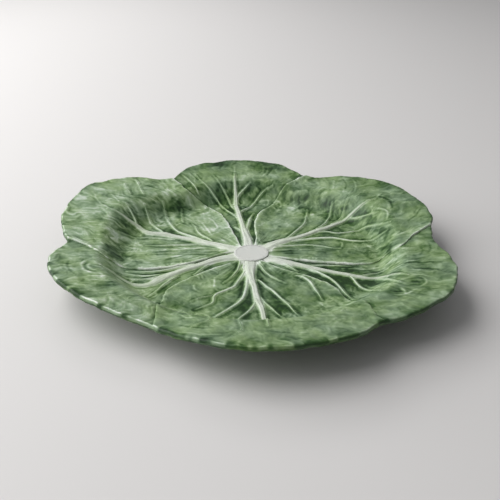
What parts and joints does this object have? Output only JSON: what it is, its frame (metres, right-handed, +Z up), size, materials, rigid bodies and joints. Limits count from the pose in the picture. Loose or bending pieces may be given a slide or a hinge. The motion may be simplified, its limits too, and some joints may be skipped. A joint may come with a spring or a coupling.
{
  "type": "serving platter",
  "caption": "Shallow glazed platter shaped as overlapping cabbage leaves with raised ribs and veins round a cut stalk, on a turned foot ring.",
  "frame": {"origin": "middle of the outline, on the plane that the foot ring stands on", "axes": "+Z up out of the well, -Y towards the front leaf, +X to the right seen from the front"},
  "size_m": [0.3004, 0.3184, 0.0314],
  "materials": {
    "leaf_glaze": "gloss",
    "rib_glaze": "gloss",
    "vein_glaze": "gloss",
    "stalk_glaze": "satin",
    "foot_glaze": "gloss"
  },
  "bodies": {
    "root": {"leaf_back_right": "leaf_glaze", "leaf_back": "leaf_glaze", "leaf_back_left": "leaf_glaze", "leaf_front_left": "leaf_glaze", "leaf_front": "leaf_glaze", "leaf_front_right": "leaf_glaze", "midrib_back_right": "rib_glaze", "midrib_back": "rib_glaze", "midrib_back_left": "rib_glaze", "midrib_front_left": "rib_glaze", "midrib_front": "rib_glaze", "midrib_front_right": "rib_glaze", "side_veins_back_right": "vein_glaze", "side_veins_back": "vein_glaze", "side_veins_back_left": "vein_glaze", "side_veins_front_left": "vein_glaze", "side_veins_front": "vein_glaze", "side_veins_front_right": "vein_glaze", "stalk_disc": "stalk_glaze", "foot_ring": "foot_glaze"}
  },
  "joints": []
}
